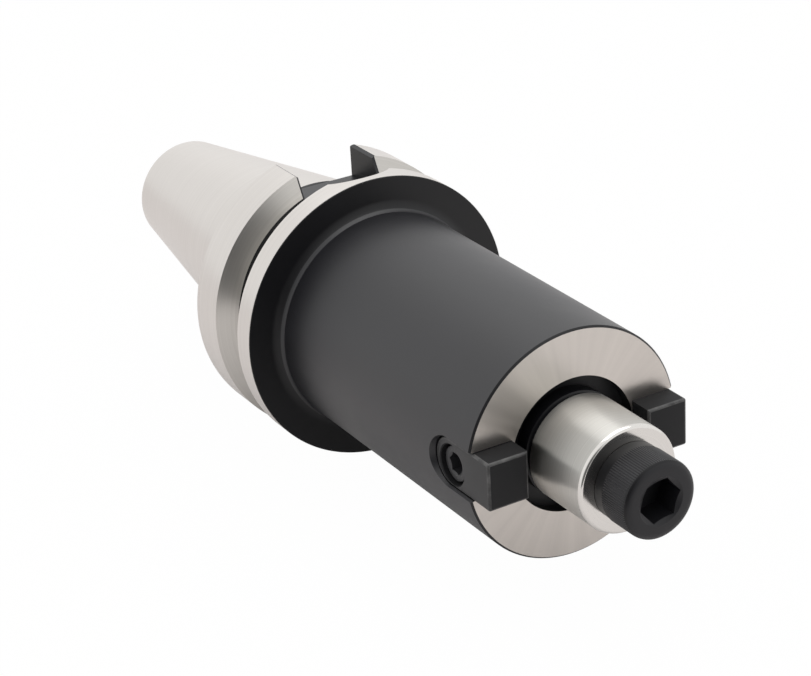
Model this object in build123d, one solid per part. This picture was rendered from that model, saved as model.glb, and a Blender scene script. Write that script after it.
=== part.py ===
# Shell mill arbor: a size 40 taper holder, 7 in 24, with a 22 mm pilot for a shell mill,
# two drive keys held by cap screws, and the lock screw that draws the cutter on.
# Millimetres. The axis lies along X, the nose points to +X, and the origin is the centre
# of the gauge line, where the taper has its gauge diameter. The drive slots are on +Z and
# -Z, and the drive keys a quarter turn away, on -Y (left) and +Y (right).
from build123d import *
import math
import os

# Taper shank
gauge_diameter = 44.45
taper_rise = 7 / 24             # growth of the diameter for each mm along the axis
taper_length = 65.4
rear_chamfer = 0.8
relief_diameter = 43.2          # turned neck between the taper and the flange

# Drive flange
flange_diameter = 63.0
flange_rear = 2.0               # distance of the rear face from the gauge line
flange_width = 25.0
flange_rear_round = 1.0
flange_front_chamfer = 0.15
groove_centre = 14.6            # distance of the gripper groove from the rear face
groove_width = 10.0
groove_depth = 5.0
groove_flank_angle = 30.0
groove_edge_break = 0.1

# Drive slots in the flange
slot_width = 18.2
slot_floor_height = 22.6        # distance of the flat floor from the axis
slot_length = 22.3              # from the rear face of the flange to the slot's round end
slot_edge_chamfer = 0.7

# Body
gauge_length = 100.0            # gauge line to the face that the cutter seats on
body_diameter = 48.0
body_front_chamfer = 0.4
neck_radius = 2.7
neck_foot_radius = 26.4         # where the neck round leaves the flange face

# Pilot
pilot_diameter = 22.0
pilot_length = 18.0
pilot_chamfer_length = 0.8
pilot_chamfer_depth = 0.7
recess_diameter = 28.0
recess_depth = 3.0
undercut_width = 1.35
undercut_depth = 0.4
undercut_flank = 0.2

# Pull stud hole in the rear end
stud_bore_diameter = 17.0
stud_bore_depth = 9.0
stud_thread_diameter = 14.0     # bored wall of the M16 thread
stud_thread_length = 30.0
drill_point_angle = 59.0        # half the angle of a drill's point
stud_mouth_chamfer = 0.5

# Lock screw, M10
lock_thread_diameter = 10.0
lock_thread_pitch = 1.5
lock_shank_length = 25.0
lock_head_diameter = 16.0
lock_head_height = 10.0
lock_head_round = 1.0
lock_hex = 8.0
lock_hex_depth = 6.0
lock_hex_mouth_diameter = 9.9
lock_hex_turn = 10.0            # a corner of the socket, from +Y towards +Z
lock_hole_spare = 9.0           # hole beyond the end of the screw
lock_mouth_chamfer = 0.6

# Drive keys
key_width = 10.0
key_projection = 5.4            # from the seat face to the front of the key
key_outer_height = 22.8         # distance of the outer face from the axis
key_inner_height = 13.8         # distance of the inner face from the axis
key_length = 18.5
key_edge_round = 0.5
key_screw_setback = 5.7         # from the key's rear end
key_screw_offset = 0.45         # the holes sit off the middle of the key and its pocket
pocket_side_clearance = 0.2
pocket_end_gap = 0.55

# Key screws, M5 with a small head
key_thread_diameter = 5.0
key_thread_pitch = 0.8
key_shank_length = 10.0
key_head_diameter = 7.3
key_head_height = 4.2
key_head_round = 0.3
key_hex = 4.0
key_hex_depth = 2.4
key_hex_mouth_diameter = 4.9
key_hex_turn = 21.0             # a corner of the socket, from the tangent direction
key_hole_spare = 1.0
counterbore_diameter = 8.4
counterbore_depth = 5.0
counterbore_chamfer = 0.2
key_hole_clearance = 0.25       # round the shank, in the key

# Hexagon sockets
hex_mouth_angle = 60.0          # half the angle of the countersunk mouth

# Fits
thread_clearance = 0.05         # a screw's crests inside its tapped hole
thread_depth_share = 0.6134     # depth of a metric thread as a share of its pitch
thread_land_share = 0.125       # flat crest and flat root, as shares of the pitch

# Places that follow from the sizes
gauge_radius = gauge_diameter / 2
taper_slope = taper_rise / 2
rear_x = -taper_length
flange_front = flange_rear + flange_width
flange_radius = flange_diameter / 2
body_radius = body_diameter / 2
pilot_radius = pilot_diameter / 2
recess_radius = recess_diameter / 2
pilot_end = gauge_length + pilot_length
key_front = gauge_length + key_projection
key_rear = key_front - key_length
key_screw_x = key_rear + key_screw_setback
key_seat_height = key_outer_height - counterbore_depth
past = 1.0                      # how far a cutter runs past the face it cuts
touching = 0.001                # two places closer than this are the same place


def taper_radius(x):
    return gauge_radius + taper_slope * x


def turned(outline):
    """Solid turned about X from a closed outline of lines in x and radius."""
    return revolve(Plane.XZ * make_face(outline), axis=Axis.X)


def round_bar(radius, start, end):
    """Plain cylinder along X, from start to end."""
    return Plane.YZ.offset(start) * extrude(Circle(radius), end - start)


def drilled(radius, start, end):
    """Blind hole along +X with the cone of the drill's point beyond its end."""
    tip = radius / math.tan(math.radians(drill_point_angle))
    return turned(Polyline((start, 0), (start, radius), (end, radius), (end + tip, 0), close=True))


def arbor_blank():
    """Taper, flange, body and pilot, turned in one piece."""
    relief_radius = relief_diameter / 2
    neck_centre_x = flange_front + neck_radius
    neck_end_angle = math.acos((neck_foot_radius - body_radius) / neck_radius)
    neck_x = neck_centre_x - neck_radius * math.sin(neck_end_angle)
    mid_angle = (math.pi / 2 + neck_end_angle) / 2
    neck_mid = (
        neck_centre_x - neck_radius * math.sin(mid_angle),
        neck_foot_radius - neck_radius * math.cos(mid_angle),
    )
    undercut_end = gauge_length + undercut_width
    undercut_radius = pilot_radius - undercut_depth

    rear = Polyline(
        (pilot_end, 0),
        (rear_x, 0),
        (rear_x, taper_radius(rear_x) - rear_chamfer),
        (rear_x + rear_chamfer, taper_radius(rear_x + rear_chamfer)),
        (0, gauge_radius),
        (gauge_radius - relief_radius, relief_radius),
        (flange_rear, relief_radius),
        (flange_rear, flange_radius),
        (flange_front - flange_front_chamfer, flange_radius),
        (flange_front, flange_radius - flange_front_chamfer),
        (flange_front, neck_foot_radius),
    )
    neck = ThreePointArc((flange_front, neck_foot_radius), neck_mid, (neck_x, body_radius))
    front = Polyline(
        (neck_x, body_radius),
        (gauge_length - body_front_chamfer, body_radius),
        (gauge_length, body_radius - body_front_chamfer),
        (gauge_length, recess_radius),
        (gauge_length - recess_depth, recess_radius),
        (gauge_length - recess_depth, pilot_radius),
        (gauge_length, pilot_radius),
        (gauge_length + undercut_flank, undercut_radius),
        (undercut_end - undercut_flank, undercut_radius),
        (undercut_end, pilot_radius),
        (pilot_end - pilot_chamfer_length, pilot_radius),
        (pilot_end, pilot_radius - pilot_chamfer_depth),
        (pilot_end, 0),
    )
    return turned(rear + neck + front)


def gripper_groove():
    """Cutter for the groove round the flange: two flanks, a flat floor and broken edges."""
    middle = flange_rear + groove_centre
    flank = math.tan(math.radians(groove_flank_angle))
    half_mouth = groove_width / 2
    half_floor = half_mouth - flank * groove_depth
    half_break = half_mouth - flank * groove_edge_break
    half_top = half_mouth + groove_edge_break + past
    floor_radius = flange_radius - groove_depth
    broken_radius = flange_radius - groove_edge_break
    return turned(Polyline(
        (middle - half_top, flange_radius + past),
        (middle - half_break, broken_radius),
        (middle - half_floor, floor_radius),
        (middle + half_floor, floor_radius),
        (middle + half_break, broken_radius),
        (middle + half_top, flange_radius + past),
        close=True,
    ))


def rear_rounding():
    """Cutter that rounds the rear edge of the flange."""
    end_x = flange_rear + flange_rear_round
    start_radius = flange_radius - flange_rear_round
    on_round = flange_rear_round * math.cos(math.radians(45))
    arc = ThreePointArc(
        (flange_rear, start_radius),
        (end_x - on_round, start_radius + on_round),
        (end_x, flange_radius),
    )
    outside = Polyline(
        (end_x, flange_radius),
        (end_x, flange_radius + past),
        (flange_rear - past, flange_radius + past),
        (flange_rear - past, start_radius),
        (flange_rear, start_radius),
    )
    return turned(arc + outside)


def pull_stud_hole():
    """Stepped hole in the rear end: a plain pilot bore, then the thread's wall."""
    bore_radius = stud_bore_diameter / 2
    mouth = turned(Polyline(
        (rear_x - past, 0),
        (rear_x - past, bore_radius + stud_mouth_chamfer + past),
        (rear_x + stud_mouth_chamfer, bore_radius),
        (rear_x + stud_mouth_chamfer, 0),
        close=True,
    ))
    bore = round_bar(bore_radius, rear_x - past, rear_x + stud_bore_depth)
    thread_start = rear_x + stud_bore_depth
    thread = drilled(stud_thread_diameter / 2, thread_start - past, thread_start + stud_thread_length)
    return mouth + bore + thread


def lock_screw_hole():
    """Tapped hole for the lock screw, opened at the pilot's end, with a chamfered mouth."""
    radius = lock_thread_diameter / 2 + thread_clearance
    depth = lock_shank_length + lock_hole_spare
    tip = radius / math.tan(math.radians(drill_point_angle))
    return turned(Polyline(
        (pilot_end - depth - tip, 0),
        (pilot_end - depth, radius),
        (pilot_end - lock_mouth_chamfer, radius),
        (pilot_end + past, radius + lock_mouth_chamfer + past),
        (pilot_end + past, 0),
        close=True,
    ))


def drive_slot():
    """Cutter for the slot on +Z: flat floor and a full round end, as an end mill leaves it."""
    radius = slot_width / 2
    start = flange_rear - past
    round_x = flange_rear + slot_length - radius
    plan = Pos((start + round_x) / 2, 0, slot_floor_height) * Rectangle(round_x - start, slot_width)
    plan += Pos(round_x, 0, slot_floor_height) * Circle(radius)
    return extrude(plan, flange_radius + past - slot_floor_height)


def is_slot_rim(edge):
    """Whether an edge runs where a drive slot meets the flange's rim."""
    middle = edge @ 0.5
    on_rim = abs(math.hypot(middle.Y, middle.Z) - flange_radius) < touching
    beside_slot = abs(middle.Y) < slot_width / 2 + touching
    inside = flange_rear + touching < middle.X < flange_rear + slot_length + touching
    return on_rim and beside_slot and inside


def key_plan(width, rear, front, height):
    """Flat outline of a key or pocket at a height over the axis, with a round rear end."""
    nose = rear + width / 2
    outline = Pos((nose + front) / 2, 0, height) * Rectangle(front - nose, width)
    return outline + Pos(nose, 0, height) * Circle(width / 2)


def key_pocket():
    """Cutter for the pocket on +Z, with the tapped hole for the key screw in its floor."""
    width = key_width + 2 * pocket_side_clearance
    rear = key_rear - pocket_end_gap
    plan = key_plan(width, rear, gauge_length + past, key_inner_height)
    pocket = extrude(plan, body_radius + past - key_inner_height)
    hole_end = key_seat_height - key_shank_length - key_hole_spare
    radius = key_thread_diameter / 2 + thread_clearance
    mouth = Pos(key_screw_x, -key_screw_offset, hole_end) * Circle(radius)
    hole = extrude(mouth, key_inner_height + past - hole_end)
    return pocket + hole


def quarter_turned(shape, side):
    """Turn a shape made on +Z about the axis, to -Y for side -1 and to +Y for side 1."""
    return Rot(-90 * side, 0, 0) * shape


def arbor_body():
    slot = drive_slot()
    pocket = key_pocket()
    blank = arbor_blank() - slot - Rot(180, 0, 0) * slot
    blank = chamfer(blank.edges().filter_by(is_slot_rim), slot_edge_chamfer)
    blank = blank - gripper_groove() - rear_rounding() - pull_stud_hole() - lock_screw_hole()
    for side in (-1, 1):
        blank -= quarter_turned(pocket, side)
    return blank


def drive_key():
    """One key on +Z: a bar with a round rear end, rounded edges and a counterbored hole."""
    thickness = key_outer_height - key_inner_height
    plan = key_plan(key_width, key_rear, key_front, key_inner_height)
    key = extrude(plan, thickness)
    outer_edges = key.faces().sort_by(Axis.Z)[-1].edges()
    front_edges = key.faces().sort_by(Axis.X)[-1].edges()
    key = fillet(outer_edges + front_edges, key_edge_round)
    hole_radius = key_thread_diameter / 2 + key_hole_clearance
    place = Pos(key_screw_x, -key_screw_offset, key_inner_height - past)
    key -= place * extrude(Circle(hole_radius), thickness + 2 * past)
    bore_radius = counterbore_diameter / 2
    seat = Pos(key_screw_x, -key_screw_offset, key_seat_height)
    key -= seat * extrude(Circle(bore_radius), counterbore_depth + past)
    rim = key_outer_height - counterbore_chamfer
    cone = Cone(
        bore_radius,
        bore_radius + counterbore_chamfer + past,
        counterbore_chamfer + past,
        align=(Align.CENTER, Align.CENTER, Align.MIN),
    )
    return key - Pos(key_screw_x, -key_screw_offset, rim) * cone


def threaded_shank(diameter, pitch, length):
    """Screw shank from 0 to -length along X, with a groove for each turn of the thread."""
    crest = diameter / 2
    root = crest - thread_depth_share * pitch
    land = thread_land_share * pitch
    flank = (pitch - 2 * land) / 2
    turns = int((length - pitch) / pitch)
    points = [(0, 0), (0, crest)]
    for turn in range(turns):
        start = -pitch / 2 - turn * pitch
        points += [(start, crest), (start - flank, root), (start - flank - land, root)]
        points += [(start - 2 * flank - land, crest)]
    tip_chamfer = crest - root
    points += [(-length + tip_chamfer, crest), (-length, root), (-length, 0)]
    return turned(Polyline(*points, close=True))


def hex_socket(across_flats, depth, mouth_diameter, turn, face_x):
    """Cutter for a hexagon socket in a face at face_x, with a countersunk mouth."""
    corner = across_flats / math.sqrt(3)
    hexagon = Rot(0, 0, turn) * RegularPolygon(corner, 6)
    socket = Plane.YZ.offset(face_x - depth) * extrude(hexagon, depth + past)
    spread = math.tan(math.radians(hex_mouth_angle))
    mouth_radius = mouth_diameter / 2
    mouth = turned(Polyline(
        (face_x - mouth_radius / spread, 0),
        (face_x + past, mouth_radius + past * spread),
        (face_x + past, 0),
        close=True,
    ))
    return socket + mouth


def cap_screw(thread, pitch, length, head_diameter, head_height, head_round, socket):
    """Socket head cap screw along X, with the underside of its head at the origin."""
    radius = head_diameter / 2
    on_round = head_round * math.cos(math.radians(45))
    under = 0.2 * head_round
    head_outline = Polyline(
        (head_height, 0),
        (0, 0),
        (0, radius - under),
        (under, radius),
        (head_height - head_round, radius),
    ) + ThreePointArc(
        (head_height - head_round, radius),
        (head_height - head_round + on_round, radius - head_round + on_round),
        (head_height, radius - head_round),
    ) + Line((head_height, radius - head_round), (head_height, 0))
    screw = turned(head_outline) + threaded_shank(thread, pitch, length)
    return screw - socket


def lock_screw():
    socket = hex_socket(
        lock_hex, lock_hex_depth, lock_hex_mouth_diameter, lock_hex_turn, lock_head_height,
    )
    return Pos(pilot_end, 0, 0) * cap_screw(
        lock_thread_diameter, lock_thread_pitch, lock_shank_length,
        lock_head_diameter, lock_head_height, lock_head_round, socket,
    )


def key_screw():
    """Key screw standing on +Z in the counterbore of its key."""
    socket = hex_socket(
        key_hex, key_hex_depth, key_hex_mouth_diameter, key_hex_turn, key_head_height,
    )
    screw = cap_screw(
        key_thread_diameter, key_thread_pitch, key_shank_length,
        key_head_diameter, key_head_height, key_head_round, socket,
    )
    return Pos(key_screw_x, -key_screw_offset, key_seat_height) * Rot(0, -90, 0) * screw


os.makedirs("parts", exist_ok=True)
key = drive_key()
screw = key_screw()
pieces = {"arbor_body": arbor_body(), "lock_screw": lock_screw()}
for name, side in (("left", -1), ("right", 1)):
    pieces["drive_key_" + name] = quarter_turned(key, side)
    pieces["key_screw_" + name] = quarter_turned(screw, side)
for name, piece in pieces.items():
    export_step(piece, "parts/" + name + ".step")
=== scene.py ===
import math
import bpy
from mathutils import Matrix, Vector


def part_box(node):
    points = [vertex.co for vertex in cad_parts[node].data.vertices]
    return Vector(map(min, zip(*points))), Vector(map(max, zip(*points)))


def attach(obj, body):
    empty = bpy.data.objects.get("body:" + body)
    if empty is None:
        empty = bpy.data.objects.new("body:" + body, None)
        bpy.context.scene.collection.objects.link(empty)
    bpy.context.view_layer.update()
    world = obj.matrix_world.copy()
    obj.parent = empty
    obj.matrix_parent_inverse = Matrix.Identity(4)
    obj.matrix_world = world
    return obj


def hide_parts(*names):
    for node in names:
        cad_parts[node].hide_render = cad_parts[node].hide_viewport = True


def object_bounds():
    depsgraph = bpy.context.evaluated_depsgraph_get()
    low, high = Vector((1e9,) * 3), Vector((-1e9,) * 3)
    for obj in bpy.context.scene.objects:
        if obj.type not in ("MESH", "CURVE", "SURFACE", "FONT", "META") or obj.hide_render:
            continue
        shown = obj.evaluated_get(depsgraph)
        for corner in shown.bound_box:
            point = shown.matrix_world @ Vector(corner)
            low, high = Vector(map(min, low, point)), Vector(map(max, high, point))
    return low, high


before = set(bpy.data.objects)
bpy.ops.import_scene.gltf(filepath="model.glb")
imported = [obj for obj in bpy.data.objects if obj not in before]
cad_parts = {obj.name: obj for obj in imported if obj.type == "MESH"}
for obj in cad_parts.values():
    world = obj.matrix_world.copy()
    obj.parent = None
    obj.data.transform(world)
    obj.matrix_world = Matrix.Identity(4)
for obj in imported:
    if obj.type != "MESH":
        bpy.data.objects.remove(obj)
cad_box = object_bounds()

# Camera. It looks down at the nose from the front left, close enough that the nose end looms,
# and leans a little to one side.
camera_place = Vector((0.4420, -0.2300, 0.2174))
camera_forward = Vector((-0.7868, 0.4475, -0.4251)).normalized()
camera_lean = Vector((-0.3398, 0.2608, 0.9036))
camera_right = camera_forward.cross(camera_lean).normalized()
camera_up = camera_right.cross(camera_forward)
camera_turn = Matrix((camera_right, camera_up, -camera_forward)).transposed()
bpy.ops.object.camera_add(location=camera_place, rotation=camera_turn.to_euler())
camera = bpy.context.object
camera.data.lens = 108.0
camera.data.sensor_width = 36.0
camera.data.clip_start = 0.01
bpy.context.scene.camera = camera
bpy.context.scene.view_settings.view_transform = "Standard"

# Floor. A sheet of white paper under the flange, which ends a little in front of the nose, square
# to the view. It photographs as plain white, and the ground steel mirrors it a little dimmer.
paper_white_seen = 0.985         # share of plain white in what the camera sees
paper_white_mirrored = 0.15      # and in what the steel mirrors
floor_height = cad_box[0].z
floor_size = 1.6
floor_front = 0.215
view_turn = math.atan2(camera_place.y, camera_place.x)
floor_middle = Vector((math.cos(view_turn), math.sin(view_turn))) * (floor_front - floor_size / 2)
bpy.ops.mesh.primitive_plane_add(
    size=floor_size, location=(*floor_middle, floor_height), rotation=(0, 0, view_turn)
)
floor = bpy.context.object
floor.name = "floor"
paper = bpy.data.materials.new("white_paper")
paper.use_nodes = True
nodes = paper.node_tree.nodes
links = paper.node_tree.links
sheet = nodes["Principled BSDF"]
sheet.inputs["Base Color"].default_value = (0.72, 0.695, 0.69, 1)
sheet.inputs["Roughness"].default_value = 0.9
sheet.inputs["Specular IOR Level"].default_value = 0.1
glow = nodes.new("ShaderNodeEmission")
path = nodes.new("ShaderNodeLightPath")
mirrored = nodes.new("ShaderNodeMath")
mirrored.operation = "MULTIPLY"
mirrored.inputs[1].default_value = paper_white_mirrored
links.new(path.outputs["Is Glossy Ray"], mirrored.inputs[0])
share = nodes.new("ShaderNodeMath")
share.operation = "MULTIPLY_ADD"
share.inputs[1].default_value = paper_white_seen
links.new(path.outputs["Is Camera Ray"], share.inputs[0])
links.new(mirrored.outputs[0], share.inputs[2])
blend = nodes.new("ShaderNodeMixShader")
links.new(share.outputs[0], blend.inputs[0])
links.new(sheet.outputs[0], blend.inputs[1])
links.new(glow.outputs[0], blend.inputs[2])
links.new(blend.outputs[0], nodes["Material Output"].inputs["Surface"])
floor.data.materials.append(paper)

# Light tent. White cloth all round, with a dark opening in front of the nose, where the picture
# is taken from. A softbox overhead adds a soft shadow.
tent_opening = Vector((0.87, -0.49, 0.05)).normalized()
tent_opening_inside = 0.94       # cosine of the angle from its middle where it is darkest
tent_opening_outside = 0.72      # and where the white cloth is reached
tent_opening_light = 0.15
tent_cloth_light = 1.04
world = bpy.data.worlds.new("light_tent")
bpy.context.scene.world = world
world.use_nodes = True
nodes = world.node_tree.nodes
links = world.node_tree.links
tent = nodes["Background"]
tent.inputs["Color"].default_value = (1, 1, 1, 1)
direction = nodes.new("ShaderNodeTexCoord")
towards = nodes.new("ShaderNodeVectorMath")
towards.operation = "DOT_PRODUCT"
towards.inputs[1].default_value = tent_opening
links.new(direction.outputs["Generated"], towards.inputs[0])
fade = nodes.new("ShaderNodeMapRange")
fade.interpolation_type = "SMOOTHSTEP"
fade.inputs["From Min"].default_value = tent_opening_outside
fade.inputs["From Max"].default_value = tent_opening_inside
fade.inputs["To Min"].default_value = tent_cloth_light
fade.inputs["To Max"].default_value = tent_opening_light
links.new(towards.outputs["Value"], fade.inputs["Value"])
links.new(fade.outputs["Result"], tent.inputs["Strength"])
white = nodes.new("ShaderNodeBackground")
white.inputs["Color"].default_value = (1, 1, 1, 1)
path = nodes.new("ShaderNodeLightPath")
blend = nodes.new("ShaderNodeMixShader")
links.new(path.outputs["Is Camera Ray"], blend.inputs[0])
links.new(tent.outputs[0], blend.inputs[1])
links.new(white.outputs[0], blend.inputs[2])
links.new(blend.outputs[0], nodes["World Output"].inputs["Surface"])
lamp_place = Vector((0.0, 0.15, 0.9))
lamp_aim = Vector((0.03, 0, 0))
lamp_turn = (lamp_aim - lamp_place).to_track_quat("-Z", "Y").to_euler()
bpy.ops.object.light_add(type="AREA", location=lamp_place, rotation=lamp_turn)
softbox = bpy.context.object
softbox.name = "overhead_softbox"
softbox.data.shape = "RECTANGLE"
softbox.data.size = 1.2
softbox.data.size_y = 0.8
softbox.data.energy = 3.4
softbox.visible_camera = False

# Arbor body. One piece of hardened steel, turned on a lathe: taper, gripper flange, body and
# pilot. It is blacked all over, then ground bright on the taper, the flange rim, the groove's
# flanks, the cutter's seat and the pilot. The drive slots and the key pockets are milled.
bright = 0
blacked = 1
polished = 2
faced = 3
shaded_black = 4
flank = 5
shaded_honed = 6
body_sides = 256
bar_sides = 96                   # of a whole circle as wide as a bar
closed_tip = 0.00002             # a ring this small is merged into a point
weld = 0.000001                  # vertices this close are merged
mill_past = 0.002                # how far a cutter runs past the face it cuts
point_angle = math.radians(59)   # half the angle of a drill's point

gauge_radius = 0.022225
taper_slope = 7 / 48             # growth of the radius along the axis
rear_x = -0.0654
rear_chamfer = 0.0008
relief_radius = 0.0216
stud_bore_radius = 0.0085
stud_bore_depth = 0.009
stud_thread_radius = 0.007
stud_thread_length = 0.030
stud_mouth_chamfer = 0.0005

flange_radius = cad_box[1].z
flange_rear = 0.002
flange_front = 0.027
flange_rear_round = 0.001
flange_front_chamfer = 0.00015
groove_middle = 0.0166
groove_half_mouth = 0.005
groove_depth = 0.005
groove_black_height = 0.0008     # how far up each flank the darker black reaches: painted shade at the groove's foot
groove_flank = math.tan(math.radians(30))

body_radius = 0.024
seat_x = 0.100
body_front_chamfer = 0.0004
neck_round = 0.0027
neck_foot_radius = 0.0264
neck_steps = 10
pilot_radius = 0.011
pilot_end = 0.118
pilot_round_length = 0.0008
pilot_round_depth = 0.0007
pilot_round_steps = 8
recess_radius = 0.014
recess_depth = 0.003
undercut_width = 0.00135
undercut_depth = 0.0004
undercut_flank = 0.0002
lock_hole_radius = 0.00505
lock_hole_depth = 0.034
lock_mouth_chamfer = 0.0006


def taper_radius(x):
    return gauge_radius + taper_slope * x


def turned(name, profile, sides, finishes, first_corner=0.0):
    """A piece turned about X. The profile lists x, radius and the finish of the stretch to there."""
    start_x, start_radius, unused = profile[0]
    bpy.ops.object.select_all(action="DESELECT")
    bpy.ops.mesh.primitive_circle_add(
        vertices=sides, radius=start_radius, location=(start_x, 0, 0), rotation=(0, math.pi / 2, 0)
    )
    piece = bpy.context.object
    piece.name = name
    for finish in finishes:
        piece.data.materials.append(finish)
    bpy.ops.object.transform_apply(location=True, rotation=True, scale=True)
    bpy.ops.object.mode_set(mode="EDIT")
    bpy.ops.mesh.select_all(action="SELECT")
    for (x, radius, unused), (next_x, next_radius, unused) in zip(profile, profile[1:]):
        bpy.ops.mesh.extrude_edges_move(TRANSFORM_OT_translate={"value": (next_x - x, 0, 0)})
        growth = next_radius / radius
        bpy.ops.transform.resize(value=(1, growth, growth), center_override=(0, 0, 0))
    for end_x in (profile[0][0], profile[-1][0]):
        pick(piece, lambda place: abs(place.x - end_x) < closed_tip and place.yz.length < 2 * closed_tip)
        bpy.ops.mesh.merge(type="CENTER")
    bpy.ops.mesh.select_all(action="SELECT")
    bpy.ops.mesh.normals_make_consistent(inside=False)
    bpy.ops.object.mode_set(mode="OBJECT")
    for face in piece.data.polygons:      # they come in rings, in the order of the profile
        face.material_index = profile[face.index // sides + 1][2]
    piece.rotation_euler.x = first_corner
    bpy.ops.object.transform_apply(location=False, rotation=True, scale=False)
    return piece


def take(piece):
    """Make a piece the only one that is selected, and the active one."""
    bpy.ops.object.select_all(action="DESELECT")
    piece.select_set(True)
    bpy.context.view_layer.objects.active = piece


def pick(piece, wanted):
    """Select the vertices whose place passes a test, and nothing else, in edit mode."""
    bpy.ops.object.mode_set(mode="EDIT")
    bpy.ops.mesh.select_mode(type="VERT")
    bpy.ops.mesh.select_all(action="DESELECT")
    bpy.ops.object.mode_set(mode="OBJECT")
    for vertex in piece.data.vertices:
        vertex.select = wanted(vertex.co)
    bpy.ops.object.mode_set(mode="EDIT")


def round_ended_bar(name, round_x, radius, flat_x, low, high, finishes, finish=0):
    """A bar on +Z with one round end, milled from low to high: a key, or the cutter for a slot."""
    bpy.ops.object.select_all(action="DESELECT")
    bpy.ops.mesh.primitive_circle_add(
        vertices=bar_sides, radius=radius, fill_type="NGON", location=(round_x, 0, low)
    )
    piece = bpy.context.object
    piece.name = name
    for each in finishes:
        piece.data.materials.append(each)
    bpy.ops.object.transform_apply(location=True, rotation=True, scale=True)
    bpy.ops.object.mode_set(mode="EDIT")
    bpy.ops.mesh.select_all(action="SELECT")
    bpy.ops.mesh.bisect(
        plane_co=(round_x, 0, low), plane_no=(math.copysign(1, flat_x - round_x), 0, 0), clear_outer=True
    )
    bpy.ops.mesh.select_all(action="SELECT")
    bpy.ops.mesh.remove_doubles(threshold=weld)
    pick(piece, lambda place: abs(place.x - round_x) < closed_tip)
    bpy.ops.mesh.extrude_edges_move(TRANSFORM_OT_translate={"value": (flat_x - round_x, 0, 0)})
    bpy.ops.mesh.select_mode(type="FACE")
    bpy.ops.mesh.select_all(action="SELECT")
    bpy.ops.mesh.dissolve_limited(angle_limit=math.radians(1))
    bpy.ops.mesh.select_all(action="SELECT")
    bpy.ops.mesh.extrude_region_move(TRANSFORM_OT_translate={"value": (0, 0, high - low)})
    bpy.ops.mesh.select_all(action="SELECT")
    bpy.ops.mesh.normals_make_consistent(inside=False)
    bpy.ops.object.mode_set(mode="OBJECT")
    for face in piece.data.polygons:
        face.material_index = finish
    return piece


def cut(piece, cutter):
    """Take the cutter's shape out of a piece. The cut faces keep the cutter's finish."""
    take(piece)
    milling = piece.modifiers.new("milling", "BOOLEAN")
    milling.operation = "DIFFERENCE"
    milling.solver = "EXACT"
    milling.object = cutter
    bpy.ops.object.modifier_apply(modifier=milling.name)
    bpy.data.objects.remove(cutter)


def face_side(piece, side):
    """Turn a piece made on +Z to -Y for side -1, or to +Y for side 1."""
    take(piece)
    bpy.ops.object.transform_apply(location=True, rotation=False, scale=False)
    piece.rotation_euler.x = -side * math.pi / 2
    bpy.ops.object.transform_apply(location=False, rotation=True, scale=False)
    return piece


def smooth(piece, degrees):
    """Shade a piece smooth, except across edges sharper than an angle."""
    take(piece)
    bpy.ops.object.shade_smooth_by_angle(angle=math.radians(degrees))


def group_input(group, name, value):
    socket = group.interface.new_socket(name, in_out="INPUT", socket_type="NodeSocketFloat")
    socket.default_value = value


def build_lathe_rings_and_reflection_rays():
    """Fine rings round X, as a lathe leaves them, and rays on flat faces: painted reflection streaks where
    they tint the colour, and a real change of gloss where they vary the roughness.
    """
    group = bpy.data.node_groups.new("lathe_rings_and_reflection_rays", "ShaderNodeTree")
    group_input(group, "Ring Fineness", 3000.0)
    group_input(group, "Ray Count", 7.0)
    group.interface.new_socket("Rings", in_out="OUTPUT", socket_type="NodeSocketFloat")
    group.interface.new_socket("Rays", in_out="OUTPUT", socket_type="NodeSocketFloat")
    nodes = group.nodes
    links = group.links
    given = nodes.new("NodeGroupInput")
    made = nodes.new("NodeGroupOutput")
    place = nodes.new("ShaderNodeTexCoord")
    parts = nodes.new("ShaderNodeSeparateXYZ")
    links.new(place.outputs["Object"], parts.inputs[0])
    across = nodes.new("ShaderNodeCombineXYZ")
    links.new(parts.outputs["Y"], across.inputs["Y"])
    links.new(parts.outputs["Z"], across.inputs["Z"])
    radius = nodes.new("ShaderNodeVectorMath")
    radius.operation = "LENGTH"
    links.new(across.outputs[0], radius.inputs[0])
    along = nodes.new("ShaderNodeCombineXYZ")
    links.new(parts.outputs["X"], along.inputs["X"])
    links.new(radius.outputs["Value"], along.inputs["Y"])
    rings = nodes.new("ShaderNodeTexNoise")
    rings.noise_dimensions = "2D"
    rings.inputs["Detail"].default_value = 3.0
    links.new(along.outputs[0], rings.inputs["Vector"])
    links.new(given.outputs["Ring Fineness"], rings.inputs["Scale"])
    links.new(rings.outputs["Fac"], made.inputs["Rings"])
    direction = nodes.new("ShaderNodeVectorMath")
    direction.operation = "NORMALIZE"
    links.new(across.outputs[0], direction.inputs[0])
    rays = nodes.new("ShaderNodeTexNoise")
    rays.inputs["Detail"].default_value = 3.0
    rays.inputs["Roughness"].default_value = 0.55
    links.new(direction.outputs["Vector"], rays.inputs["Vector"])
    links.new(given.outputs["Ray Count"], rays.inputs["Scale"])
    links.new(rays.outputs["Fac"], made.inputs["Rays"])
    return group


def build_handling_smudges():
    """Soft cloudy spots of oil and polish from handling."""
    group = bpy.data.node_groups.new("handling_smudges", "ShaderNodeTree")
    group_input(group, "Size", 60.0)
    group.interface.new_socket("Smudge", in_out="OUTPUT", socket_type="NodeSocketFloat")
    nodes = group.nodes
    links = group.links
    given = nodes.new("NodeGroupInput")
    made = nodes.new("NodeGroupOutput")
    place = nodes.new("ShaderNodeTexCoord")
    cloud = nodes.new("ShaderNodeTexNoise")
    cloud.inputs["Detail"].default_value = 5.0
    cloud.inputs["Roughness"].default_value = 0.6
    links.new(place.outputs["Object"], cloud.inputs["Vector"])
    links.new(given.outputs["Size"], cloud.inputs["Scale"])
    links.new(cloud.outputs["Fac"], made.inputs["Smudge"])
    return group


lathe_rings_and_reflection_rays = build_lathe_rings_and_reflection_rays()
handling_smudges = build_handling_smudges()


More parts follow.
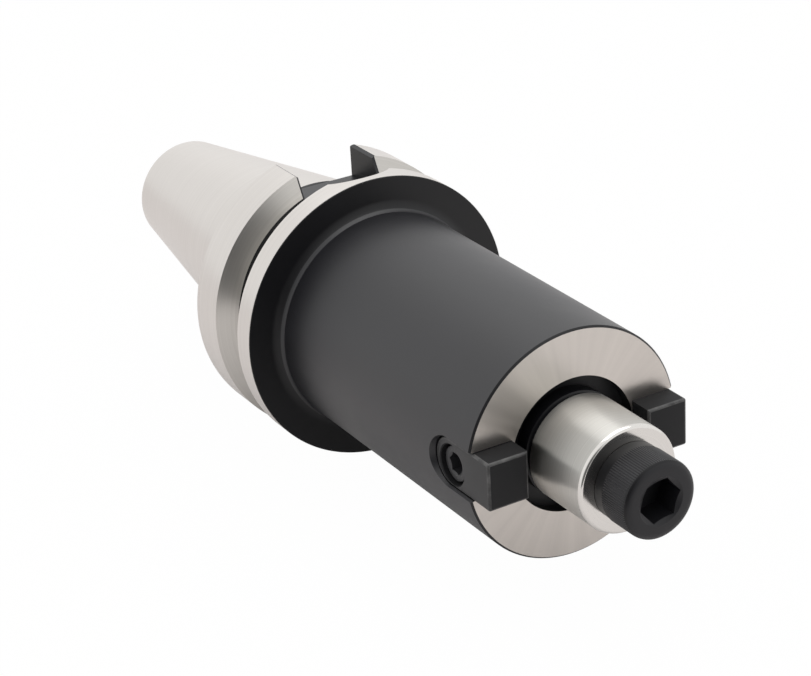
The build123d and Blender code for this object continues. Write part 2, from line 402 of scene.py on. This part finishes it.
def between(tree, factor, low, high):
    """Map the middle range of a noise, which it seldom leaves, onto a span of values."""
    span = tree.nodes.new("ShaderNodeMapRange")
    span.inputs["From Min"].default_value = 0.3
    span.inputs["From Max"].default_value = 0.7
    span.inputs["To Min"].default_value = low
    span.inputs["To Max"].default_value = high
    tree.links.new(factor, span.inputs["Value"])
    return span.outputs["Result"]


def turned_steel(name, dark, light, smoothest, roughest, drawn_out, shown_mark):
    """Ground or turned bare steel: its mirror image is drawn out across the tool marks."""
    finish = bpy.data.materials.new(name)
    finish.use_nodes = True
    tree = finish.node_tree
    shader = tree.nodes["Principled BSDF"]
    shader.inputs["Metallic"].default_value = 1.0
    shader.inputs["Anisotropic"].default_value = drawn_out
    shader.inputs["Anisotropic Rotation"].default_value = 0.25
    marks = tree.nodes.new("ShaderNodeGroup")
    marks.node_tree = lathe_rings_and_reflection_rays
    smudges = tree.nodes.new("ShaderNodeGroup")
    smudges.node_tree = handling_smudges
    tone = tree.nodes.new("ShaderNodeMix")
    tone.data_type = "RGBA"
    tone.inputs["A"].default_value = (*dark, 1)
    tone.inputs["B"].default_value = (*light, 1)
    tree.links.new(between(tree, marks.outputs[shown_mark], 0, 1), tone.inputs["Factor"])
    tree.links.new(tone.outputs["Result"], shader.inputs["Base Color"])
    gloss_mark = marks.outputs["Rays"] if shown_mark == "Rays" else smudges.outputs["Smudge"]
    gloss = between(tree, gloss_mark, smoothest, roughest)
    tree.links.new(gloss, shader.inputs["Roughness"])
    grain = tree.nodes.new("ShaderNodeTangent")
    grain.direction_type = "RADIAL"
    grain.axis = "X"
    tree.links.new(grain.outputs["Tangent"], shader.inputs["Tangent"])
    return finish


def blacked_steel(name, dark, light, smoothest, roughest, level, spots=60):
    """Black oxide on steel: a thin satin layer, with cloudy spots where it is thicker."""
    finish = bpy.data.materials.new(name)
    finish.use_nodes = True
    tree = finish.node_tree
    shader = tree.nodes["Principled BSDF"]
    shader.inputs["Specular IOR Level"].default_value = level
    smudges = tree.nodes.new("ShaderNodeGroup")
    smudges.node_tree = handling_smudges
    smudges.inputs["Size"].default_value = spots
    tone = tree.nodes.new("ShaderNodeMix")
    tone.data_type = "RGBA"
    tone.inputs["A"].default_value = (*dark, 1)
    tone.inputs["B"].default_value = (*light, 1)
    tree.links.new(between(tree, smudges.outputs["Smudge"], 0, 1), tone.inputs["Factor"])
    tree.links.new(tone.outputs["Result"], shader.inputs["Base Color"])
    gloss = between(tree, smudges.outputs["Smudge"], smoothest, roughest)
    tree.links.new(gloss, shader.inputs["Roughness"])
    return finish


ground_steel = turned_steel(
    "ground_steel", (0.66, 0.63, 0.60), (0.70, 0.67, 0.64), 0.27, 0.33, 0.6, "Rings"
)
# The seat's tone follows the rays, painted reflection streaks as a turned face shows them; its gloss
# follows them too.
faced_steel = turned_steel(
    "faced_steel", (0.57, 0.535, 0.50), (0.635, 0.595, 0.555), 0.28, 0.33, 0.7, "Rays"
)
# A darker copy of the ground steel for the groove's flanks: painted shade inside the groove.
shaded_flank_steel = turned_steel(
    "shaded_flank_steel", (0.52, 0.50, 0.47), (0.57, 0.55, 0.52), 0.27, 0.33, 0.6, "Rings"
)
# A darker, rougher copy of the ground steel for the pilot's side: the rougher gloss is its finish, and the
# darker colour is painted shade for the dimmer reflection it shows.
shaded_honed_steel = turned_steel(
    "shaded_honed_steel", (0.54, 0.53, 0.50), (0.60, 0.59, 0.56), 0.30, 0.36, 0.8, "Rings"
)
polished_steel = turned_steel(
    "polished_steel", (0.70, 0.68, 0.65), (0.74, 0.72, 0.69), 0.12, 0.16, 0.0, "Rings"
)
black_oxide = blacked_steel(
    "black_oxide", (0.006, 0.006, 0.008), (0.009, 0.009, 0.012), 0.40, 0.45, 0.7
)
# A darker copy of the black oxide, painted shade: it goes where shade falls, on the groove's floor and the
# foot of its flanks, the neck, the flange's front face and chamfer, the body's front chamfer, the recess,
# the undercut, the walls of the slots and pockets, and the lock screw's plain band and the start of its
# head's rounded edge.
shaded_black_oxide = blacked_steel(
    "shaded_black_oxide", (0.003, 0.003, 0.004), (0.005, 0.005, 0.0065), 0.38, 0.44, 0.35
)
body_finishes = (
    ground_steel, black_oxide, polished_steel, faced_steel, shaded_black_oxide, shaded_flank_steel, shaded_honed_steel,
)

stud_bore_end = rear_x + stud_bore_depth
stud_thread_end = stud_bore_end + stud_thread_length
stud_tip = stud_thread_end + stud_thread_radius / math.tan(point_angle)
lock_hole_end = pilot_end - lock_hole_depth
lock_hole_tip = lock_hole_end - lock_hole_radius / math.tan(point_angle)
rear_arc = [
    (flange_rear + flange_rear_round * (1 - math.cos(angle)),
     flange_radius - flange_rear_round * (1 - math.sin(angle)), bright)
    for angle in (math.pi / 8, math.pi / 4, 3 * math.pi / 8, math.pi / 2)
]
groove_floor = flange_radius - groove_depth
groove_half_floor = groove_half_mouth - groove_flank * groove_depth
groove_black_top = groove_floor + groove_black_height
groove_half_black = groove_half_floor + groove_flank * groove_black_height
# The groove's flanks take the darker ground steel, and its floor and the foot of each flank the darker
# black: both painted shade.
groove_outline = [
    (groove_middle - groove_half_mouth, flange_radius, bright),
    (groove_middle - groove_half_black, groove_black_top, flank),
    (groove_middle - groove_half_floor, groove_floor, shaded_black),
    (groove_middle + groove_half_floor, groove_floor, shaded_black),
    (groove_middle + groove_half_black, groove_black_top, shaded_black),
    (groove_middle + groove_half_mouth, flange_radius, flank),
]
neck_end_angle = math.acos((neck_foot_radius - body_radius) / neck_round)
neck_arc = []
for step in range(1, neck_steps + 1):
    angle = math.pi / 2 + (neck_end_angle - math.pi / 2) * step / neck_steps
    neck_arc.append((
        flange_front + neck_round * (1 - math.sin(angle)),
        neck_foot_radius - neck_round * math.cos(angle),
        shaded_black if step < neck_steps - 2 else blacked,
    ))
pilot_edge = []
for step in range(1, pilot_round_steps + 1):
    angle = step / pilot_round_steps * math.pi / 2
    pilot_edge.append((
        pilot_end - pilot_round_length * (1 - math.sin(angle)),
        pilot_radius - pilot_round_depth * (1 - math.cos(angle)),
        polished,
    ))
# The flange's front face and chamfer, the neck, the body's front chamfer, the recess and the undercut take
# the darker black: painted shade.
body_profile = [
    (stud_tip, closed_tip, blacked),
    (stud_thread_end, stud_thread_radius, blacked),
    (stud_bore_end, stud_thread_radius, blacked),
    (stud_bore_end, stud_bore_radius, blacked),
    (rear_x + stud_mouth_chamfer, stud_bore_radius, blacked),
    (rear_x, stud_bore_radius + stud_mouth_chamfer, blacked),
    (rear_x, taper_radius(rear_x) - rear_chamfer, blacked),
    (rear_x + rear_chamfer, taper_radius(rear_x + rear_chamfer), blacked),
    (0, gauge_radius, bright),
    (gauge_radius - relief_radius, relief_radius, blacked),
    (flange_rear, relief_radius, blacked),
    (flange_rear, flange_radius - flange_rear_round, blacked),
    *rear_arc,
    *groove_outline,
    (flange_front - flange_front_chamfer, flange_radius, bright),
    (flange_front, flange_radius - flange_front_chamfer, shaded_black),
    (flange_front, neck_foot_radius, shaded_black),
    *neck_arc,
    (seat_x - body_front_chamfer, body_radius, blacked),
    (seat_x, body_radius - body_front_chamfer, shaded_black),
    (seat_x, recess_radius, faced),
    (seat_x - recess_depth, recess_radius, shaded_black),
    (seat_x - recess_depth, pilot_radius, shaded_black),
    (seat_x, pilot_radius, shaded_black),
    (seat_x + undercut_flank, pilot_radius - undercut_depth, shaded_black),
    (seat_x + undercut_width - undercut_flank, pilot_radius - undercut_depth, shaded_black),
    (seat_x + undercut_width, pilot_radius, shaded_black),
    (pilot_end - pilot_round_length, pilot_radius, shaded_honed),
    *pilot_edge,
    (pilot_end, lock_hole_radius + lock_mouth_chamfer, polished),
    (pilot_end - lock_mouth_chamfer, lock_hole_radius, polished),
    (lock_hole_end, lock_hole_radius, blacked),
    (lock_hole_tip, closed_tip, blacked),
]
body = turned("turned_body", body_profile, body_sides, body_finishes)

slot_half_width = 0.0091
slot_round_x = 0.0152
slot_floor = 0.0226
slot_edge_break = 0.0007         # chamfer round the slot, on the flange rim
slot_corner_break = 0.0005       # and where its walls meet the groove's flanks
slot_open_x = flange_rear - mill_past
flank_reach = 0.00008            # a face's middle is off its cone by less than this


def on_groove_flank(place):
    """Whether a place is on a flank of the gripper groove, over one of the drive slots."""
    half_width = groove_half_mouth - groove_flank * (flange_radius - place.yz.length)
    on_flank = abs(abs(place.x - groove_middle) - half_width) < flank_reach
    within_groove = groove_floor + closed_tip < place.yz.length < flange_radius - closed_tip
    return on_flank and within_groove and abs(place.y) < 2 * slot_half_width


for slot_turn in (0, math.pi):
    slot_cutter = round_ended_bar(
        "slot_cutter", slot_round_x, slot_half_width, slot_open_x,
        slot_floor, flange_radius + mill_past, body_finishes, shaded_black,
    )
    # The slot's walls keep the darker black, painted shade; its floor takes the plain black oxide.
    for face in slot_cutter.data.polygons:
        if abs(face.normal.z) > 0.5:
            face.material_index = blacked
    slot_cutter.rotation_euler.x = slot_turn
    bpy.ops.object.transform_apply(location=False, rotation=True, scale=False)
    cut(body, slot_cutter)

    break_cutter = round_ended_bar(
        "break_cutter", slot_round_x, slot_half_width, slot_open_x,
        -slot_edge_break, slot_edge_break, body_finishes, blacked,
    )
    for vertex in break_cutter.data.vertices:
        outward = Vector((max(vertex.co.x - slot_round_x, 0), vertex.co.y, 0)).normalized()
        vertex.co += outward * (vertex.co.z + slot_edge_break)
        vertex.co.z += math.sqrt(flange_radius**2 - vertex.co.y**2)
    break_cutter.rotation_euler.x = slot_turn
    bpy.ops.object.transform_apply(location=False, rotation=True, scale=False)
    cut(body, break_cutter)

corner_y = slot_half_width + slot_corner_break
for strip_y in (-corner_y, corner_y):
    bpy.ops.object.mode_set(mode="EDIT")
    bpy.ops.mesh.select_all(action="DESELECT")
    bpy.ops.object.mode_set(mode="OBJECT")
    for face in body.data.polygons:
        face.select = on_groove_flank(face.center)
    bpy.ops.object.mode_set(mode="EDIT")
    bpy.ops.mesh.bisect(plane_co=(0, strip_y, 0), plane_no=(0, 1, 0))
    bpy.ops.object.mode_set(mode="OBJECT")
for face in body.data.polygons:
    beside_wall = slot_half_width < abs(face.center.y) < corner_y
    if beside_wall and on_groove_flank(face.center):
        face.material_index = blacked
for vertex in body.data.vertices:
    place = vertex.co
    on_wall = abs(abs(place.y) - slot_half_width) < closed_tip
    if on_wall and on_groove_flank(place):
        place.x += math.copysign(slot_corner_break, place.x - groove_middle)

key_low, key_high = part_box("drive_key_right")
key_half_width = key_high.z
key_round_x = key_low.x + key_half_width
key_inner = key_low.y
key_outer = key_high.y
key_front = key_high.x
key_screw_low, key_screw_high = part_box("key_screw_right")
key_screw_x = (key_screw_low.x + key_screw_high.x) / 2
key_screw_offset = (key_screw_low.z + key_screw_high.z) / 2
pocket_side_gap = 0.0001
pocket_end_gap = 0.00015
pocket_half_width = key_half_width + pocket_side_gap
pocket_round_x = key_low.x - pocket_end_gap + pocket_half_width
pocket_flare = 0.00045           # how much its rim widens, from the key's face to the body's
pocket_shift = 0.00008           # the key rests against the lower wall of its pocket
rim_past = 0.0005                # the flare's cutter starts this far inside the pocket
for side in (-1, 1):
    # The pocket's walls and floor take the darker black: painted shade round the key.
    pocket_cutter = round_ended_bar(
        "pocket_cutter", pocket_round_x, pocket_half_width, seat_x + mill_past,
        key_inner, body_radius + mill_past, body_finishes, shaded_black,
    )
    pocket_cutter.location.y = pocket_shift
    cut(body, face_side(pocket_cutter, side))
    rim_cutter = round_ended_bar(
        "rim_cutter", pocket_round_x, pocket_half_width, seat_x + mill_past,
        key_outer - rim_past, body_radius + rim_past, body_finishes, blacked,
    )
    for vertex in rim_cutter.data.vertices:
        outward = Vector((min(vertex.co.x - pocket_round_x, 0), vertex.co.y, 0)).normalized()
        vertex.co += outward * pocket_flare * (vertex.co.z - key_outer) / (body_radius - key_outer)
    rim_cutter.location.y = pocket_shift
    cut(body, face_side(rim_cutter, side))
take(body)
bpy.ops.object.mode_set(mode="EDIT")
bpy.ops.mesh.select_all(action="SELECT")
bpy.ops.mesh.remove_doubles(threshold=weld)
bpy.ops.object.mode_set(mode="OBJECT")
smooth(body, 20)
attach(body, "arbor")
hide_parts("arbor_body")

# Drive keys. Two blocks of hardened steel that stand out of the nose and turn the cutter. They
# are blacked, with rounded edges that rub a little lighter, and sit in pockets across the body.
key_edge_round = 0.0005
key_edge_steps = 4
drill_sides = 64
key_counterbore_radius = 0.0042
key_counterbore_depth = 0.005
key_counterbore_chamfer = 0.0002
key_clearance_radius = 0.00275
key_seat = key_outer - key_counterbore_depth
key_black = blacked_steel(
    "key_black", (0.008, 0.008, 0.009), (0.011, 0.011, 0.012), 0.62, 0.68, 0.3
)
key_edge_black = blacked_steel(
    "key_edge_black", (0.012, 0.012, 0.013), (0.095, 0.094, 0.093), 0.45, 0.52, 0.5, 450
)
key_face_black = blacked_steel(
    "key_face_black", (0.020, 0.020, 0.021), (0.032, 0.032, 0.033), 0.45, 0.52, 0.45
)
key_finishes = (key_black, key_edge_black, key_face_black)


def stand(piece, x, y, z):
    """Stand a piece that was turned about X upright on Z, with its origin at a place."""
    take(piece)
    piece.rotation_euler.y = -math.pi / 2
    piece.location = (x, y, z)
    bpy.ops.object.transform_apply(location=True, rotation=True, scale=False)
    return piece


key_hole_profile = [
    (key_inner - mill_past, closed_tip, 0),
    (key_inner - mill_past, key_clearance_radius, 0),
    (key_seat, key_clearance_radius, 0),
    (key_seat, key_counterbore_radius, 0),
    (key_outer - key_counterbore_chamfer, key_counterbore_radius, 0),
    (key_outer + mill_past, key_counterbore_radius + key_counterbore_chamfer + mill_past, 0),
    (key_outer + mill_past, closed_tip, 0),
]
for side, side_name in ((-1, "left"), (1, "right")):
    key = round_ended_bar(
        "key_block_" + side_name, key_round_x, key_half_width, key_front,
        key_inner, key_outer, key_finishes,
    )
    # The key's outer face takes a lighter black than its other faces.
    for face in key.data.polygons:
        if face.center.z > key_outer - closed_tip:
            face.material_index = 2
    pick(key, lambda place: place.z > key_outer - closed_tip or place.x > key_front - closed_tip)
    bpy.ops.mesh.select_mode(type="EDGE")
    bpy.ops.mesh.bevel(offset=key_edge_round, segments=key_edge_steps, affect="EDGES", material=1)
    bpy.ops.object.mode_set(mode="OBJECT")
    key_drill = turned("key_drill", key_hole_profile, drill_sides, key_finishes)
    cut(key, stand(key_drill, key_screw_x, -key_screw_offset, 0))
    face_side(key, side)
    smooth(key, 25)
    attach(key, "arbor")
    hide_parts("drive_key_" + side_name)

# Key screws. Blacked cap screws, sunk in the keys, with a hexagon socket and a countersunk mouth.
# The thread is rolled: its turns are rings at the real pitch, as on the solid.
screw_black = blacked_steel(
    "screw_black", (0.008, 0.008, 0.010), (0.011, 0.011, 0.013), 0.38, 0.44, 0.36
)
key_screw_black = blacked_steel(
    "key_screw_black", (0.018, 0.018, 0.020), (0.026, 0.026, 0.028), 0.36, 0.42, 0.5
)
key_shank_radius = 0.0025
key_shank_length = 0.010
key_thread_pitch = 0.0008
key_head_radius = (key_screw_high.x - key_screw_low.x) / 2
key_head_height = 0.0042
key_head_round = 0.0003
key_under_break = key_head_round / 5
key_hex = 0.004
key_hex_corner = key_hex / math.sqrt(3)
key_hex_depth = 0.0024
key_hex_mouth = 0.00245
key_hex_turn = math.radians(21)
hex_mouth_angle = math.radians(60)
thread_depth_share = 0.6134      # of the pitch, as on a metric thread
thread_land_share = 0.125        # the flat crest, and the flat root
head_edge_steps = 4
screw_sides = 96


def shank_profile(radius, length, pitch):
    """Outline of a screw's shank from its tip to the underside of its head, which is at 0."""
    depth = thread_depth_share * pitch
    root = radius - depth
    land = thread_land_share * pitch
    flank_run = pitch / 2 - land
    profile = [(-length, closed_tip, 0), (-length, root, 0), (-length + depth, radius, 0)]
    for turn in reversed(range(int(length / pitch - 1))):
        start = -pitch / 2 - turn * pitch
        profile.append((start - 2 * flank_run - land, radius, 0))
        profile.append((start - flank_run - land, root, 0))
        profile.append((start - flank_run, root, 0))
        profile.append((start, radius, 0))
    profile.append((0, radius, 0))
    return profile


def head_profile(radius, height, round_width, round_height, edge_finishes):
    """Outline of a screw's head from the start of its rounded edge to the middle of its face."""
    profile = []
    for step, finish in enumerate(edge_finishes):
        angle = step * math.pi / (2 * head_edge_steps)
        x = height - round_height * (1 - math.sin(angle))
        profile.append((x, radius - round_width * (1 - math.cos(angle)), finish))
    profile.append((height, closed_tip, 0))
    return profile


def cut_hex_socket(screw, face_x, corner, depth, mouth, first_corner, finish):
    """Broach a hexagon socket into a screw's head and countersink its mouth."""
    broach = turned("broach", [
        (face_x - depth, closed_tip, 0),
        (face_x - depth, corner, 0),
        (face_x + mill_past, corner, 0),
        (face_x + mill_past, closed_tip, 0),
    ], 6, (finish,), first_corner)
    cut(screw, broach)
    countersink = turned("countersink", [
        (face_x - mouth / math.tan(hex_mouth_angle), closed_tip, 0),
        (face_x + mill_past, mouth + mill_past * math.tan(hex_mouth_angle), 0),
        (face_x + mill_past, closed_tip, 0),
    ], screw_sides, (finish,))
    cut(screw, countersink)


key_head_finishes = [0] * (head_edge_steps + 1)
key_screw_profile = [
    *shank_profile(key_shank_radius, key_shank_length, key_thread_pitch),
    (0, key_head_radius - key_under_break, 0),
    (key_under_break, key_head_radius, 0),
    *head_profile(key_head_radius, key_head_height, key_head_round, key_head_round, key_head_finishes),
]
for side, side_name in ((-1, "left"), (1, "right")):
    screw = turned("key_cap_screw_" + side_name, key_screw_profile, screw_sides, (key_screw_black,))
    cut_hex_socket(
        screw, key_head_height, key_hex_corner, key_hex_depth, key_hex_mouth, key_hex_turn, key_screw_black
    )
    stand(screw, key_screw_x, -key_screw_offset, key_seat)
    face_side(screw, side)
    smooth(screw, 30)
    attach(screw, "key_screw_" + side_name)
    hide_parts("key_screw_" + side_name)

# Lock screw. An M10 cap screw of blacked steel, which clamps the cutter on the pilot. Its head is
# knurled straight between a plain band at the underside and the rounded edge of its face.
lock_shank_radius = 0.005
lock_shank_length = 0.025
lock_thread_pitch = 0.0015
lock_head_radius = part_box("lock_screw")[1].y
lock_head_height = 0.010
lock_head_round = 0.0016
lock_head_drop = 0.0011
lock_hex = 0.008
lock_hex_corner = lock_hex / math.sqrt(3)
lock_hex_depth = 0.006
lock_hex_mouth = 0.00495
lock_hex_turn = math.radians(10)
knurl_teeth = 104
knurl_depth = 0.00012
knurl_start = 0.0026
knurl_run_in = 0.0003
plain_band_drop = 0.00015
# The plain band under the head and the start of its rounded edge take the darker black: painted shade.
lock_head_finishes = (0, 1, 1, 0, 0)
band_radius = lock_head_radius - plain_band_drop
knurl_end = lock_head_height - lock_head_drop
lock_profile = [
    *shank_profile(lock_shank_radius, lock_shank_length, lock_thread_pitch),
    (0, band_radius - plain_band_drop, 0),
    (plain_band_drop, band_radius, 1),
    (knurl_start - knurl_run_in, band_radius, 1),
    (knurl_start, lock_head_radius, 1),
    *head_profile(lock_head_radius, lock_head_height, lock_head_round, lock_head_drop, lock_head_finishes),
]
lock = turned("lock_cap_screw", lock_profile, 2 * knurl_teeth, (screw_black, shaded_black_oxide))
tooth_angle = math.pi / knurl_teeth
for vertex in lock.data.vertices:
    on_knurl = knurl_start - closed_tip < vertex.co.x < knurl_end + closed_tip
    in_valley = round(math.atan2(vertex.co.z, vertex.co.y) / tooth_angle) % 2
    if on_knurl and in_valley:
        vertex.co.yz *= 1 - knurl_depth / lock_head_radius
cut_hex_socket(
    lock, lock_head_height, lock_hex_corner, lock_hex_depth, lock_hex_mouth, lock_hex_turn, screw_black
)
lock.location.x = pilot_end
bpy.ops.object.transform_apply(location=True, rotation=False, scale=False)
smooth(lock, 24)
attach(lock, "lock_screw")
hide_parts("lock_screw")
